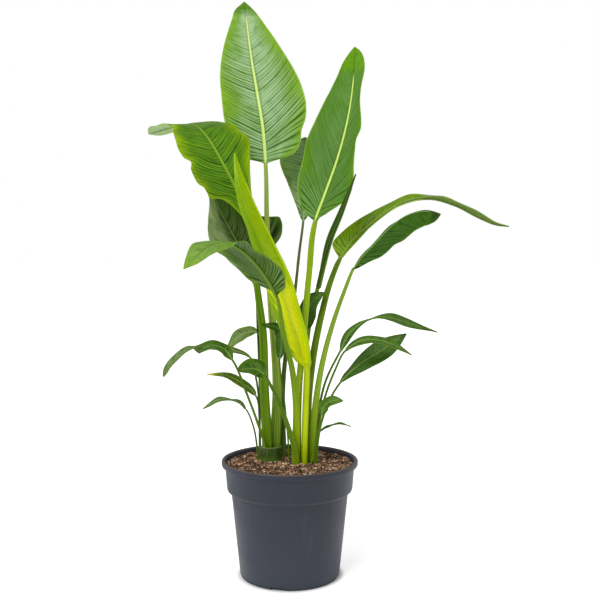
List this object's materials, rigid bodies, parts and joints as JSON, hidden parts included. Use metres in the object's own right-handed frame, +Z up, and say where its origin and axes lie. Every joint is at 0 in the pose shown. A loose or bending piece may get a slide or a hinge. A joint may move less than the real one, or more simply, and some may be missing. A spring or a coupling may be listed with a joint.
{
  "type": "potted travelers palm",
  "caption": "Potted travelers palm: long-stalked broad leaves and low side shoots grow from peat in a round nursery pot with a wide collar; it stands on its flat base.",
  "frame": {"origin": "centre of the pot's flat base, in the plane that it rests on", "axes": "+Z up along the pot's axis and the plant's height, +X to the right and +Y away from the viewer, as the plant is seen from its front"},
  "size_m": [0.6742, 0.3513, 1.0402],
  "materials": {
    "pot": "satin",
    "peat": "matte",
    "sheath": "satin",
    "leaf_green": "satin",
    "leaf_dark": "satin",
    "leaf_young": "satin"
  },
  "bodies": {
    "root": {"pot": "pot", "peat": "peat", "cut_sheath": "sheath", "leaf_tall_left": "leaf_green", "leaf_tall_right": "leaf_green", "leaf_back": "leaf_dark", "leaf_left_arch": "leaf_green", "leaf_left_low": "leaf_dark", "leaf_front_arch": "leaf_green", "leaf_young": "leaf_young", "leaf_right_long": "leaf_green", "leaf_right_low": "leaf_dark", "leaf_spear": "leaf_dark", "shoot_left_arch": "leaf_green", "shoot_left_far": "leaf_green", "shoot_left_back": "leaf_green", "shoot_front_folded": "leaf_green", "shoot_left_yellow": "leaf_green", "shoot_left_lowest": "leaf_green", "shoot_middle": "leaf_green", "shoot_back_middle": "leaf_dark", "shoot_right_long": "leaf_green", "shoot_right_middle": "leaf_green", "shoot_right_broad": "leaf_green", "shoot_right_low": "leaf_green", "shoot_right_thread": "leaf_green"}
  },
  "joints": []
}
